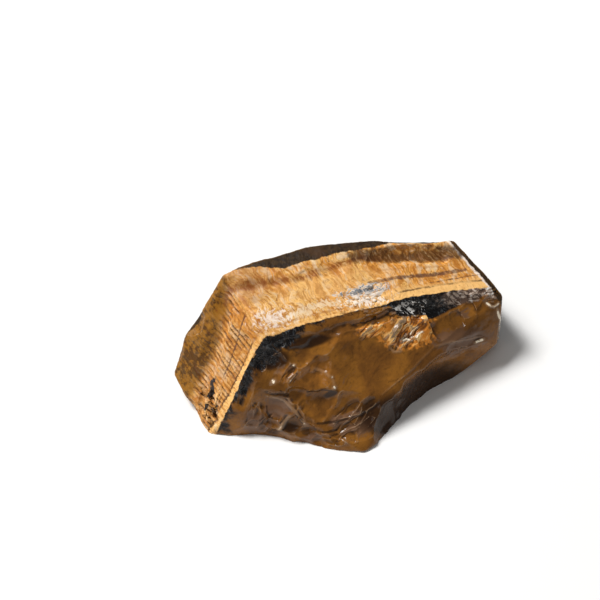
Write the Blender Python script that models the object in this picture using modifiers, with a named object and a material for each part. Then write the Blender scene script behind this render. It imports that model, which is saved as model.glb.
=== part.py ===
"""Rough tiger's eye: one broken piece of vein stone, lying on its flat underside.

The vein runs through the whole piece: a silky gold band on top, a thin dark layer under its front edge and a glassy brown
layer below, with a dark skin behind. Lengths are in millimetres; the finished solid is in metres, with +Z up.
"""

import bmesh
import bpy
import numpy as np

MM = 0.001
NAME = "tigers_eye_stone"

CELL = 1.4  # side of one facet
CENTRE = (30.27, 18.75)  # middle of the stone's footprint in the frame of CORNERS
EDGE_WEAR = 0.10  # how far the broken edges are rounded
SWELL = ((9.0, 0.55), (4.2, 0.28))  # (length, height) of the lumps of the broken surface

# Where the main break planes meet. The front faces -Y, the underside is cut flat at Z = 0.
CORNERS = {
    # lower front edge of the brown face, from the left tip to the foot and on to the right end
    "left tip": (0.7, -0.3, 0.0),
    "front toe": (30.6, -5.7, 0.0),
    "foot": (35.6, -6.4, 0.0),
    "right toe": (63.7, 22.6, 0.0),
    "right heel": (65.9, 19.8, 6.5),
    # front edge of the gold band
    "left edge low": (6.1, 1.0, 6.8),
    "left edge mid": (9.9, 4.7, 14.8),
    "band corner": (13.5, 9.5, 22.5),
    "band front mid": (30.8, 14.3, 22.3),
    "band front right": (41.2, 19.0, 21.4),
    "band end": (65.0, 26.8, 18.0),
    "end upper": (66.7, 25.7, 15.3),
    "end lower": (66.6, 25.2, 13.0),
    # back edge of the gold band
    "top left": (4.5, 22.7, 27.9),
    "top rise": (17.6, 23.9, 28.6),
    "top mid": (31.5, 29.3, 27.9),
    "top right": (38.0, 30.9, 27.0),
    "top fall": (51.3, 35.4, 24.5),
    "top end": (56.3, 35.4, 23.8),
    # dark skin behind the gold band
    "skin left": (11.9, 25.6, 28.6),
    "skin mid": (22.3, 29.6, 28.6),
    "skin right": (33.1, 32.5, 27.4),
    # ridge between the brown face and the hollow facet at the lower right
    "ridge low": (37.8, 2.9, 7.2),
    "ridge knee": (39.8, 3.8, 9.0),
    "ridge mid": (45.0, 8.2, 10.4),
    "ridge high": (51.0, 14.0, 12.6),
    "ridge end": (61.9, 19.0, 9.0),
    # left side
    "side knob": (-7.1, 11.5, 5.4),
    "side knob foot": (-4.7, 8.5, 2.7),
    "side foot": (-1.8, 4.4, 0.9),
    "side ledge": (-4.3, 16.4, 13.3),
    "side edge": (1.4, 18.4, 21.8),
    # back
    "back left": (5.0, 32.0, 13.0),
    "back mid left": (22.0, 36.0, 19.0),
    "back mid right": (35.0, 40.0, 16.0),
    "back right": (56.0, 42.0, 13.0),
    "back end": (64.0, 35.0, 9.0),
    "back left low": (0.0, 27.0, -3.0),
    "back mid low": (20.0, 38.0, -3.0),
    "back right low": (45.0, 43.0, -3.0),
    "back end low": (61.0, 38.0, -3.0),
    "end low": (66.0, 28.0, -3.0),
}

# Shell-shaped breaks: (middle, way it faces, reach, depth, way it is longer, how much longer)
SCARS = (
    ((35.5, 8.3, 15.2), (0.20, -0.70, 0.69), 8.5, 1.30, (0.25, -0.60, -0.70), 1.25),  # large smooth hollow
    ((26.1, 5.0, 14.0), (0.18, -0.73, 0.66), 4.0, 1.10, (0.10, -0.60, -0.75), 1.20),  # shell
    ((24.8, 9.9, 19.5), (0.20, -0.70, 0.69), 4.2, 0.70, (0.90, 0.30, 0.10), 1.30),  # under the band
    ((45.0, 15.0, 16.9), (0.32, -0.63, 0.71), 4.6, 0.90, (0.90, 0.35, 0.00), 1.15),  # hackly patch
    ((56.5, 19.3, 15.0), (0.32, -0.63, 0.71), 5.5, 0.80, (0.90, 0.35, 0.00), 1.20),  # right, under the band
    ((26.6, -0.3, 7.7), (-0.02, -0.84, 0.54), 3.8, 0.90, (0.10, -0.60, -0.75), 1.15),  # low, ochre
    ((18.9, -1.4, 4.7), (-0.10, -0.89, 0.45), 3.0, 1.00, (0.00, -0.40, -0.90), 1.20),  # low, dark bowl
    ((15.4, 0.9, 8.6), (-0.14, -0.86, 0.49), 4.6, 0.60, (0.90, -0.10, -0.10), 1.10),  # low, flat
    ((19.6, 4.1, 14.2), (-0.02, -0.84, 0.54), 2.1, 0.65, (0.80, -0.20, -0.40), 1.10),  # chip
    ((31.5, -2.9, 3.9), (0.18, -0.73, 0.66), 3.4, 0.60, (0.90, -0.20, -0.20), 1.30),  # over the foot
    ((53.4, 11.2, 3.4), (0.55, -0.82, 0.15), 9.0, 2.50, (0.80, 0.58, 0.00), 1.50),  # hollow facet, high
    ((42.6, 1.4, 3.0), (0.60, -0.76, 0.26), 5.4, 1.90, (0.62, 0.72, -0.10), 1.30),  # hollow facet, low
    ((11.9, -1.9, 0.6), (-0.10, -0.90, 0.10), 5.2, 1.30, (1.00, -0.10, 0.00), 1.30),  # bites in the lower edge
    ((21.0, -3.6, 0.4), (-0.12, -0.90, 0.10), 3.8, 0.95, (1.00, -0.10, 0.00), 1.20),
    ((27.8, -4.5, 0.4), (-0.12, -0.90, 0.10), 2.8, 0.60, (1.00, -0.10, 0.00), 1.20),
    ((-1.6, 18.0, 17.4), (-0.84, -0.34, 0.42), 3.0, 1.35, (0.15, 0.10, 0.98), 1.10),  # notch over the side ledge
    ((-5.9, 14.4, 9.6), (-0.86, -0.25, 0.44), 2.8, 0.80, (0.15, 0.10, 0.98), 1.20),
    ((-2.6, 4.8, 1.6), (-0.75, -0.60, 0.20), 2.3, 0.90, (0.40, -0.60, -0.20), 1.20),  # ragged left foot
    ((0.2, 1.5, 3.0), (-0.60, -0.70, 0.40), 1.9, 0.80, (0.10, -0.30, -0.90), 1.40),
    ((1.0, 4.6, 5.8), (-0.56, -0.62, 0.55), 1.9, 0.80, (0.05, -0.50, -0.85), 2.20),
    ((28.0, 39.0, 10.0), (-0.10, 0.95, 0.30), 11.0, 1.90, (0.90, 0.20, 0.00), 1.30),  # back
    ((49.0, 42.5, 7.0), (0.05, 0.98, 0.15), 8.0, 1.40, (0.90, 0.00, 0.10), 1.30),
    ((6.5, 33.0, 8.0), (-0.60, 0.75, 0.20), 7.0, 1.30, (0.30, 0.30, 0.90), 1.20),
    ((45.0, 38.5, 21.0), (0.05, 0.60, 0.80), 6.5, 1.00, (0.90, 0.10, 0.00), 1.50),
)

# Long hollows: (one end, other end, way they face, half width, depth)
GROOVES = (
    ((37.0, 29.0, 27.0), (55.6, 33.2, 23.1), (0.22, -0.40, 0.89), 2.3, 0.95),  # step under the band's back edge
    ((5.6, 20.5, 26.7), (3.6, 14.5, 19.8), (-0.50, -0.60, 0.60), 2.8, 0.80),  # valley down the left side
    ((3.6, 14.5, 19.8), (-0.9, 7.6, 7.4), (-0.55, -0.62, 0.55), 3.0, 0.95),
    ((14.4, 8.1, 20.9), (31.0, 13.0, 21.2), (0.05, -0.90, 0.42), 1.4, 0.75),  # dark layer under the band
    ((31.0, 13.0, 21.2), (42.0, 18.1, 20.2), (0.25, -0.78, 0.55), 1.5, 0.65),
    ((42.0, 17.8, 19.9), (62.0, 24.8, 17.0), (0.30, -0.72, 0.60), 2.2, 0.70),  # dark lens
    ((13.4, 6.8, 19.6), (8.6, 1.6, 8.0), (-0.20, -0.86, 0.45), 1.4, 0.50),  # dark layer beside the comb
)

# Low crests left standing between breaks: (one end, other end, half width, height)
CRESTS = (
    ((31.6, 11.8, 19.2), (19.6, 5.4, 15.8), 1.2, 0.55),
    ((39.4, 11.0, 17.6), (36.0, 13.0, 19.0), 0.9, 0.45),
    ((22.4, 1.6, 9.6), (21.6, -1.8, 4.6), 0.8, 0.50),
    ((30.2, 3.6, 11.6), (31.6, -0.4, 7.2), 0.9, 0.45),
)


def unit(v):
    v = np.asarray(v, float)
    return v / np.linalg.norm(v)


def clear_scene():
    for obj in list(bpy.data.objects):
        bpy.data.objects.remove(obj)


def block():
    """The convex block that the break planes leave, and those planes as (way out, distance)."""
    bm = bmesh.new()
    for corner in CORNERS.values():
        bm.verts.new(corner)
    hull = bmesh.ops.convex_hull(bm, input=bm.verts)
    loose = {g for g in hull["geom_interior"] + hull["geom_unused"] if isinstance(g, bmesh.types.BMVert)}
    bmesh.ops.delete(bm, geom=list(loose), context="VERTS")
    bmesh.ops.recalc_face_normals(bm, faces=bm.faces)
    ways = np.array([f.normal[:] for f in bm.faces])
    reach = np.array([f.normal @ f.verts[0].co for f in bm.faces])
    mesh = bpy.data.meshes.new(NAME)
    bm.to_mesh(mesh)
    bm.free()
    obj = bpy.data.objects.new(NAME, mesh)
    bpy.context.scene.collection.objects.link(obj)
    return obj, ways, reach


def even_facets(obj):
    """Covers the block with facets of one size."""
    remesh = obj.modifiers.new("even facets", "REMESH")
    remesh.mode = "VOXEL"
    remesh.voxel_size = CELL
    graph = bpy.context.evaluated_depsgraph_get()
    mesh = bpy.data.meshes.new_from_object(obj.evaluated_get(graph))
    obj.modifiers.clear()
    obj.data = mesh


def lattice(cells, seed):
    """One number from -1 to 1 for each cell of space."""
    x, y, z = (cells[:, i].astype(np.int64) for i in range(3))
    h = (x * 73856093) ^ (y * 19349663) ^ (z * 83492791) ^ (seed * 2654435761)
    h = (h ^ (h >> 13)) * 1274126177 & 0x7FFFFFFF
    return ((h ^ (h >> 16)) & 0xFFFF) / 32767.5 - 1.0


def swell(p, length, seed):
    """Smooth lumps of about this length, from -1 to 1."""
    q = p / length
    cell = np.floor(q)
    f = q - cell
    f = f * f * (3 - 2 * f)
    total = np.zeros(len(p))
    for dx in (0, 1):
        for dy in (0, 1):
            for dz in (0, 1):
                weight = np.ones(len(p))
                for axis, d in enumerate((dx, dy, dz)):
                    weight = weight * (f[:, axis] if d else 1 - f[:, axis])
                total += weight * lattice(cell + (dx, dy, dz), seed)
    return total


def hollow(p, scar):
    """Distance outside one shell-shaped break: part of a ball that cuts in to the given depth."""
    middle, faces, reach, depth, longer, stretch = scar
    out = unit(faces)
    along = np.asarray(longer, float)
    along = unit(along - (along @ out) * out)
    radius = (reach**2 + depth**2) / (2 * depth)
    q = p - (np.asarray(middle) + out * (radius - depth))
    q = q + np.outer(q @ along * (1 / stretch - 1), along)
    return np.linalg.norm(q, axis=1) - radius


def from_line(p, start, end):
    """Distance from a line, and the share of the way along it."""
    start, way = np.asarray(start, float), np.asarray(end, float) - start
    t = np.clip((p - start) @ way / (way @ way), 0, 1)
    return np.linalg.norm(p - start - np.outer(t, way), axis=1), t


def trough(p, groove):
    start, end, faces, half, depth = groove
    radius = (half**2 + depth**2) / (2 * depth)
    lift = unit(faces) * (radius - depth)
    return from_line(p, start + lift, end + lift)[0] - radius


def outside(p, ways, reach):
    """Signed distance outside the stone, near enough to its surface."""
    bent = p.copy()
    for length, height in SWELL:
        for axis in range(3):
            bent[:, axis] += height * swell(p, length, 11 + axis + int(length))
    planes = bent @ ways.T - reach
    most = planes.max(axis=1)
    gap = most + EDGE_WEAR * np.log(np.exp((planes - most[:, None]) / EDGE_WEAR).sum(axis=1))
    for start, end, half, height in CRESTS:
        d, t = from_line(bent, start, end)
        gap = gap - height * np.exp(-((d / half) ** 2)) * np.clip(8 * t * (1 - t), 0, 1)
    for cut in [hollow(bent, s) for s in SCARS] + [trough(bent, g) for g in GROOVES]:
        gap = np.maximum(gap, -cut)
    return gap


def slope(p, ways, reach, step=0.06):
    g = np.stack(
        [outside(p + d, ways, reach) - outside(p - d, ways, reach) for d in np.eye(3) * step],
        axis=1,
    )
    return g / (2 * step)


def break_surface(mesh, ways, reach):
    """Moves the facets' corners on to the broken surface, keeping them evenly spread."""
    count = len(mesh.vertices)
    p = np.empty(count * 3)
    mesh.vertices.foreach_get("co", p)
    p = p.reshape(-1, 3)
    ends = np.empty(len(mesh.edges) * 2, np.int32)
    mesh.edges.foreach_get("vertices", ends)
    a, b = ends.reshape(-1, 2).T
    links = np.bincount(np.concatenate([a, b]), minlength=count)[:, None]
    for turn in range(14):
        gap = outside(p, ways, reach)
        g = slope(p, ways, reach)
        size = (g * g).sum(axis=1)
        p = p - np.clip(gap / np.maximum(size, 0.3), -CELL / 2, CELL / 2)[:, None] * g
        if turn < 11:
            middle = np.zeros_like(p)
            np.add.at(middle, a, p[b])
            np.add.at(middle, b, p[a])
            pull = middle / links - p
            out = g / np.sqrt(size)[:, None]
            p = p + 0.5 * (pull - (pull * out).sum(axis=1)[:, None] * out)
    p[:, :2] -= CENTRE
    mesh.vertices.foreach_set("co", (p * MM).ravel())
    mesh.update()


def flat_underside(mesh):
    bm = bmesh.new()
    bm.from_mesh(mesh)
    cut = bmesh.ops.bisect_plane(
        bm, geom=bm.verts[:] + bm.edges[:] + bm.faces[:], plane_co=(0, 0, 0), plane_no=(0, 0, -1), clear_outer=True
    )
    rim = [g for g in cut["geom_cut"] if isinstance(g, bmesh.types.BMVert)]
    for vert in rim:
        vert.co.z = 0.0
    bmesh.ops.remove_doubles(bm, verts=rim, dist=0.15 * CELL * MM)
    bmesh.ops.holes_fill(bm, edges=[e for e in bm.edges if e.is_boundary], sides=0)
    bmesh.ops.triangulate(bm, faces=bm.faces, quad_method="SHORT_EDGE", ngon_method="BEAUTY")
    bmesh.ops.recalc_face_normals(bm, faces=bm.faces)
    bm.to_mesh(mesh)
    bm.free()


def stone_material():
    mat = bpy.data.materials.new("tiger's eye")
    mat.use_nodes = True
    shader = mat.node_tree.nodes["Principled BSDF"]
    shader.inputs["Base Color"].default_value = (0.36, 0.19, 0.06, 1)
    shader.inputs["Roughness"].default_value = 0.35
    mat.diffuse_color = (0.36, 0.19, 0.06, 1)
    return mat


def main():
    clear_scene()
    stone, ways, reach = block()
    even_facets(stone)
    break_surface(stone.data, ways, reach)
    flat_underside(stone.data)
    stone.data.materials.clear()
    stone.data.materials.append(stone_material())


main()
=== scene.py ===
"""Looks for a rough piece of tiger's eye: the broken stone, its material, and a plain studio round it."""

import bmesh
import bpy
import numpy as np
from bpy.props import FloatProperty, FloatVectorProperty, PointerProperty
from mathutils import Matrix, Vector


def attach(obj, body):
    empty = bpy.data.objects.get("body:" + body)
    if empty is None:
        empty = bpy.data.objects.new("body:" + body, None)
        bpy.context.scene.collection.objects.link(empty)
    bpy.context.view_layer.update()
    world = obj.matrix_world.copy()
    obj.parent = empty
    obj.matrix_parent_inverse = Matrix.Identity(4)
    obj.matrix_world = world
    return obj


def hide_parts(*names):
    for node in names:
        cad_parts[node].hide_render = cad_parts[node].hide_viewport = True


bl_info = {
    "name": "Rough tiger's eye",
    "version": (1, 0, 0),
    "blender": (4, 5, 0),
    "location": "View3D > Sidebar > Tiger's eye",
    "description": "A broken piece of tiger's eye vein stone and a plain studio to show it in",
    "category": "Object",
}

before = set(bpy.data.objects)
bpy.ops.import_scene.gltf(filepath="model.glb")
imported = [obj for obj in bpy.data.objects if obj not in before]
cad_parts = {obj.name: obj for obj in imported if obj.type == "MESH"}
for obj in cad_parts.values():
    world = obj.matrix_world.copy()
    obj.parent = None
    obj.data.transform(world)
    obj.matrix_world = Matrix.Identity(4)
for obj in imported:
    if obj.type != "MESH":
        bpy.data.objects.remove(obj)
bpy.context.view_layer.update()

NODE = "tigers_eye_stone"
MM = 0.001

# --------------------------------------------------------------------------------------------------
# The stone's form. Lengths in this part are millimetres, in the frame of CORNERS.

CENTRE = np.array((30.27, 18.75, 0.0))  # the point of that frame that stands at the origin
EDGE_WEAR = 0.10  # how far the broken edges are rounded
SETTLING_ROUNDS = 12  # moves of the facets' corners on to the broken surface
SPREADING_ROUNDS = 9  # how many of those also spread the corners evenly
LINE_ROUNDS = 8  # moves of the points of a bead, a chip or a crack on to that surface
BELOW = -0.6  # how far below the underside fine facets go on
CHIP_SEED = 7
# (length, height) of the lumps of the broken surface, from the large ones down
SWELL = ((9.0, 0.45), (4.2, 0.16), (1.9, 0.07), (0.9, 0.035))

# Where the main break planes meet. The front faces -Y, the underside is cut flat at Z = 0.
CORNERS = {
    # lower front edge of the brown face, from the left tip to the foot and on to the right end
    "left tip": (0.7, -0.3, 0.0),
    "front toe": (30.6, -5.7, 0.0),
    "foot": (35.6, -6.4, 0.0),
    "right toe": (63.7, 22.6, 0.0),
    "right heel": (65.9, 19.8, 6.5),
    # front edge of the gold band
    "left edge low": (6.1, 1.0, 6.8),
    "left edge mid": (9.9, 4.7, 14.8),
    "band corner": (13.5, 9.5, 22.5),
    "band front mid": (30.8, 14.3, 22.3),
    "band front right": (41.2, 19.0, 21.4),
    "band end": (65.0, 26.8, 18.0),
    "end upper": (66.7, 25.7, 15.3),
    "end lower": (66.6, 25.2, 13.0),
    # back edge of the gold band
    "top left": (4.5, 22.7, 27.9),
    "top rise": (17.6, 23.9, 28.6),
    "top mid": (31.5, 29.3, 27.9),
    "top right": (38.0, 30.9, 27.0),
    "top fall": (51.3, 35.4, 24.5),
    "top end": (56.3, 35.4, 23.8),
    # dark skin behind the gold band
    "skin left": (11.9, 25.6, 28.6),
    "skin mid": (22.3, 29.6, 28.6),
    "skin right": (33.1, 32.5, 27.4),
    # ridge between the brown face and the hollow facet at the lower right
    "ridge low": (37.8, 2.9, 7.2),
    "ridge knee": (39.8, 3.8, 9.0),
    "ridge mid": (45.0, 8.2, 10.4),
    "ridge high": (51.0, 14.0, 12.6),
    "ridge end": (61.9, 19.0, 9.0),
    # left side
    "side knob": (-7.1, 11.5, 5.4),
    "side knob foot": (-4.7, 8.5, 2.7),
    "side foot": (-1.8, 4.4, 0.9),
    "side ledge": (-4.3, 16.4, 13.3),
    "side edge": (1.4, 18.4, 21.8),
    # back
    "back left": (5.0, 32.0, 13.0),
    "back mid left": (22.0, 36.0, 19.0),
    "back mid right": (35.0, 40.0, 16.0),
    "back right": (56.0, 42.0, 13.0),
    "back end": (64.0, 35.0, 9.0),
    "back left low": (0.0, 27.0, -3.0),
    "back mid low": (20.0, 38.0, -3.0),
    "back right low": (45.0, 43.0, -3.0),
    "back end low": (61.0, 38.0, -3.0),
    "end low": (66.0, 28.0, -3.0),
}

# Shell-shaped breaks: (middle, way it faces, reach, depth, way it is longer, how much longer)
SCARS = (
    ((36.3, 8.6, 14.8), (0.22, -0.7, 0.69), 7.6, 1.3, (0.25, -0.6, -0.7), 1.2),  # large smooth hollow
    ((25.2, 5.2, 14.6), (0.1, -0.7, 0.71), 3.5, 1.2, (0.35, 0.6, 0.7), 1.35),  # shell
    ((25.4, 10.3, 19.8), (0.2, -0.8, 0.56), 2.7, 0.8, (0.87, 0.45, 0.22), 2.2),  # under the band
    ((15.6, 6.3, 17.4), (-0.1, -0.86, 0.5), 3.4, 0.6, (0.3, 0.4, 0.9), 1.2),
    ((18.9, 4.6, 14.9), (0.0, -0.74, 0.67), 0.9, 0.3, (0.6, 0.55, 0.58), 2.4),  # chip
    ((21.6, 4.0, 13.9), (0.15, -0.86, 0.49), 2.2, 0.5, (0.7, -0.2, -0.5), 1.2),
    ((45.0, 15.0, 16.9), (0.32, -0.63, 0.71), 4.6, 0.9, (0.9, 0.35, 0.0), 1.15),  # hackly patch
    ((43.6, 12.4, 15.2), (0.22, -0.58, 0.78), 1.2, 0.45, (0.9, 0.3, 0.1), 1.9),  # leaf-shaped flake
    ((56.5, 19.3, 15.0), (0.32, -0.63, 0.71), 5.5, 0.8, (0.9, 0.35, 0.0), 1.2),  # right, under the band
    ((26.4, 0.5, 8.9), (0.02, -0.7, 0.71), 4.1, 1.55, (0.9, 0.0, 0.1), 1.15),  # low, ochre, under a lip
    ((19.2, -1.6, 4.6), (-0.05, -0.82, 0.57), 2.2, 0.85, (0.8, -0.2, 0.3), 1.25),  # low, amber bowl
    ((16.0, 0.8, 8.4), (-0.12, -0.89, 0.44), 3.7, 0.95, (0.9, -0.1, -0.1), 1.2),  # low, flat
    ((12.4, -0.6, 5.2), (-0.3, -0.84, 0.45), 2.6, 0.6, (0.2, -0.4, -0.9), 1.4),
    ((32.4, 1.2, 8.0), (0.1, -0.82, 0.56), 3.0, 0.7, (-0.8, -0.35, -0.48), 1.6),  # streaks over the foot
    ((35.6, -0.4, 5.8), (0.34, -0.72, 0.6), 2.6, 0.65, (-0.6, -0.45, -0.66), 1.7),
    ((31.0, -2.6, 4.2), (0.1, -0.8, 0.58), 2.4, 0.65, (-0.85, -0.25, -0.4), 1.6),
    ((53.6, 11.4, 3.6), (0.55, -0.82, 0.15), 9.0, 2.6, (0.8, 0.58, 0.0), 1.5),  # hollow facet, high
    ((42.6, 1.4, 3.0), (0.6, -0.76, 0.26), 5.4, 1.9, (0.62, 0.72, -0.1), 1.3),  # hollow facet, low
    ((56.6, 15.2, 9.7), (0.56, -0.7, 0.45), 2.2, 0.6, (0.9, 0.4, -0.05), 2.9),  # flake below the ridge
    ((11.9, -1.9, 0.6), (-0.1, -0.9, 0.1), 5.2, 1.3, (1.0, -0.1, 0.0), 1.3),  # bites, lower edge
    ((21.0, -3.6, 0.4), (-0.12, -0.9, 0.1), 3.4, 0.6, (1.0, -0.1, 0.0), 1.2),
    ((-1.6, 18.0, 17.4), (-0.84, -0.34, 0.42), 3.0, 1.35, (0.15, 0.1, 0.98), 1.1),  # notch, side ledge
    ((-5.9, 14.4, 9.6), (-0.86, -0.25, 0.44), 2.8, 0.8, (0.15, 0.1, 0.98), 1.2),
    ((-2.6, 4.8, 1.6), (-0.75, -0.6, 0.2), 2.3, 0.9, (0.4, -0.6, -0.2), 1.2),  # ragged left foot
    ((0.2, 1.5, 3.0), (-0.6, -0.7, 0.4), 1.9, 0.8, (0.1, -0.3, -0.9), 1.4),
    ((28.0, 39.0, 10.0), (-0.1, 0.95, 0.3), 11.0, 1.9, (0.9, 0.2, 0.0), 1.3),  # back
    ((49.0, 42.5, 7.0), (0.05, 0.98, 0.15), 8.0, 1.4, (0.9, 0.0, 0.1), 1.3),
    ((6.5, 33.0, 8.0), (-0.6, 0.75, 0.2), 7.0, 1.3, (0.3, 0.3, 0.9), 1.2),
    ((45.0, 38.5, 21.0), (0.05, 0.6, 0.8), 6.5, 1.0, (0.9, 0.1, 0.0), 1.5),
)

# Patches of small chips: (middle, way they face, half length, half width, way it is longer, count, reach,
# depth, how much they tilt, how much longer each one is along the patch)
CHIPPED = (
    ((20.6, -2.7, 3.0), (-0.1, -0.89, 0.45), 7.0, 1.0, (0.95, -0.2, -0.2), 8, 1.0, 0.2, 0.4, 1.6),  # fringe
    ((20.4, 2.6, 11.8), (-0.02, -0.84, 0.54), 3.4, 0.8, (0.8, -0.2, -0.4), 6, 0.9, 0.22, 0.4, 1.6),
    ((58.0, 21.2, 15.4), (0.32, -0.63, 0.71), 5.0, 1.4, (0.9, 0.35, 0.0), 7, 1.2, 0.2, 0.35, 1.8),
    ((0.8, 3.2, 4.6), (-0.56, -0.62, 0.55), 4.0, 1.8, (0.28, -0.62, -0.72), 8, 0.8, 0.4, 0.5, 2.6),  # tip
)

# Small beads, lips and thin crests left on the surface: (points along it, half width, height, how pale),
# where how pale sets a painted highlight on it, from a pale edge up to a near-white glint
BEADS = (
    (((15.4, 3.7, 13.5), (15.7, 3.8, 13.6)), 0.34, 0.4, 2.6),
    (((19.8, 5.7, 16.5), (20.2, 5.8, 16.6)), 0.24, 0.28, 2.2),
    (((18.8, 3.7, 13.6), (19.8, 4.2, 14.4), (20.4, 4.6, 15.0)), 0.18, 0.24, 1.3),
    (((28.3, 5.0, 13.4), (28.5, 5.1, 13.5)), 0.24, 0.3, 1.5),
    (((28.8, 3.5, 11.6), (29.1, 3.6, 11.7)), 0.3, 0.36, 2.6),
    (((24.4, 5.4, 15.0), (24.6, 5.4, 15.0)), 0.3, 0.34, 0.4),
    (((24.4, 5.8, 15.4), (26.6, 5.6, 14.6), (28.6, 4.8, 13.2), (29.0, 3.7, 11.9)), 0.24, 0.2, 0.35),
    (((43.9, 13.3, 15.6), (44.4, 14.2, 16.1), (45.4, 14.7, 16.3)), 0.2, 0.38, 1.8),
    (((46.0, 14.6, 16.1), (46.6, 15.8, 16.6), (47.8, 16.4, 16.8)), 0.2, 0.38, 1.8),
    (((47.2, 14.4, 15.2), (47.6, 15.4, 15.8), (48.8, 16.0, 15.8)), 0.2, 0.36, 1.6),
    (((42.2, 14.6, 17.5), (43.0, 15.6, 18.1), (43.8, 16.2, 18.4)), 0.22, 0.4, 1.1),
    (((44.0, 13.2, 15.4), (45.0, 14.0, 15.7), (45.6, 13.8, 15.5), (46.6, 14.0, 15.4)), 0.24, 0.34, 2.0),
    (((40.2, 12.8, 16.9), (41.2, 13.9, 17.5)), 0.2, 0.3, 0.9),
    (((48.6, 17.8, 17.4), (50.0, 18.2, 17.2)), 0.2, 0.3, 0.9),
    (((52.6, 18.4, 16.2), (52.0, 17.2, 15.6), (52.4, 16.2, 14.8)), 0.2, 0.3, 0.8),
    (((45.6, 13.3, 15.2), (46.6, 14.7, 15.8)), 0.22, 0.4, 1.2),
    (((60.4, 18.2, 9.0), (62.4, 19.0, 9.0)), 0.26, 0.28, 1.9),
    (((55.4, 19.4, 15.2), (56.4, 19.8, 15.2), (57.0, 20.6, 15.6)), 0.2, 0.26, 0.6),
    (((41.0, 12.2, 15.8), (42.4, 12.7, 15.5), (43.9, 11.9, 14.3)), 0.2, 0.16, 0.5),  # leaf-shaped flake
    (((41.0, 12.0, 15.7), (42.2, 11.2, 14.5), (43.9, 11.7, 14.1)), 0.2, 0.16, 0.5),
    (((19.6, -0.5, 6.8), (18.0, -1.1, 4.8), (16.2, -2.0, 2.5)), 0.34, 0.4, 0.9),
    (((21.4, -0.9, 6.3), (22.3, -1.5, 5.2), (22.9, -2.2, 4.0)), 0.3, 0.45, 1.0),
    (((14.2, 1.8, 10.4), (17.6, 1.4, 9.8), (20.4, 0.2, 8.0), (21.4, -0.9, 6.3)), 0.3, 0.3, 0.6),
    (((65.8, 23.4, 14.2), (65.8, 23.2, 8.4), (65.6, 22.7, 3.8)), 0.24, 0.24, 2.0),  # right rim
    (((62.8, 23.9, 16.2), (64.0, 23.8, 14.8), (65.0, 24.0, 14.4), (66.1, 25.0, 14.7)), 0.24, 0.3, 1.5),
    (((61.9, 19.0, 9.8), (56.0, 16.8, 11.6), (51.0, 14.0, 12.7)), 0.2, 0.2, 0.3),  # ridge
    (((51.0, 14.0, 12.7), (45.0, 8.2, 10.5), (39.6, 3.6, 9.0)), 0.18, 0.16, 0.12),
)

# Patches broken into splinters: (middle, way they face, half length, half width, way the splinters run, width
# of one, how much longer it is, height). Below 0, height leaves slivers standing, and above 0 small hollows.
SHARDS = (
    ((45.2, 15.0, 16.8), (0.32, -0.63, 0.71), 4.6, 3.2, (0.6, 0.65, 0.3), 0.9, 2.8, 0.55),  # hackly patch
    ((45.4, 15.2, 16.8), (0.32, -0.63, 0.71), 4.2, 3.0, (0.45, 0.74, 0.4), 0.5, 2.6, -0.3),
    ((36.8, 13.6, 19.0), (0.32, -0.63, 0.71), 2.8, 1.6, (0.6, 0.65, 0.3), 0.55, 3.2, -0.36),  # wrinkles
    ((38.5, 16.2, 20.1), (0.32, -0.63, 0.71), 5.0, 1.0, (0.95, 0.32, -0.08), 0.8, 2.0, -0.34),
    ((48.5, 19.5, 18.9), (0.32, -0.68, 0.66), 7.0, 1.9, (0.95, 0.32, -0.08), 0.75, 2.0, -0.42),  # dark lens
    ((61.5, 24.4, 17.0), (0.45, -0.71, 0.55), 5.0, 1.8, (0.95, 0.32, -0.08), 0.5, 1.6, -0.4),  # its grey end
    ((35.6, 21.3, 23.9), (0.17, -0.27, 0.95), 6.2, 1.5, (0.95, 0.32, -0.08), 0.6, 2.0, -0.26),  # slate patch
    ((36.0, 18.4, 22.8), (0.17, -0.27, 0.95), 7.0, 2.4, (0.95, 0.32, -0.08), 0.5, 1.3, -0.16),  # cream patch
    ((33.5, -0.6, 5.4), (0.18, -0.73, 0.66), 5.6, 3.4, (-0.8, -0.4, -0.45), 0.85, 3.6, 0.4),  # over the foot
    ((19.2, 4.3, 14.6), (-0.02, -0.84, 0.54), 2.4, 1.6, (0.6, 0.5, 0.5), 0.8, 2.4, 0.16),
    ((11.6, 0.4, 6.6), (-0.12, -0.89, 0.44), 3.6, 1.8, (-0.3, -0.35, -0.88), 1.0, 1.8, 0.4),  # low left
    ((14.8, -1.2, 3.6), (-0.12, -0.89, 0.4), 3.0, 2.8, (-0.61, -0.3, -0.73), 1.2, 2.0, 0.46),
    ((22.6, -0.6, 6.2), (-0.08, -0.88, 0.46), 4.4, 1.9, (0.25, -0.4, -0.88), 1.2, 1.9, 0.46),
    ((27.5, -3.5, 2.4), (-0.06, -0.87, 0.49), 4.6, 1.5, (0.95, -0.2, -0.2), 1.0, 2.0, 0.45),  # fringe
    ((2.2, 3.6, 5.2), (-0.54, -0.63, 0.56), 4.4, 2.0, (-0.27, -0.5, -0.82), 0.62, 5.0, -0.62),  # ragged tip
    ((58.5, 21.0, 15.6), (0.45, -0.71, 0.55), 4.6, 1.2, (0.9, 0.35, 0.0), 1.0, 1.8, 0.26),
    ((56.5, 14.6, 8.6), (0.56, -0.72, 0.35), 4.6, 1.0, (0.85, 0.5, -0.05), 0.9, 1.5, 0.24),
    ((14.5, 6.4, 17.6), (-0.1, -0.86, 0.5), 3.0, 2.2, (0.6, 0.4, 0.6), 1.2, 1.5, 0.55),
)

# Slits at the left tip, where splinters have split apart
LONG_SLIT = ((2.4, 7.6, 10.4), (1.1, 5.2, 6.6), (0.2, 3.3, 3.0))
SHORT_SLIT = ((4.1, 5.2, 8.6), (3.0, 3.2, 5.2), (2.2, 1.5, 2.6))
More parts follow.
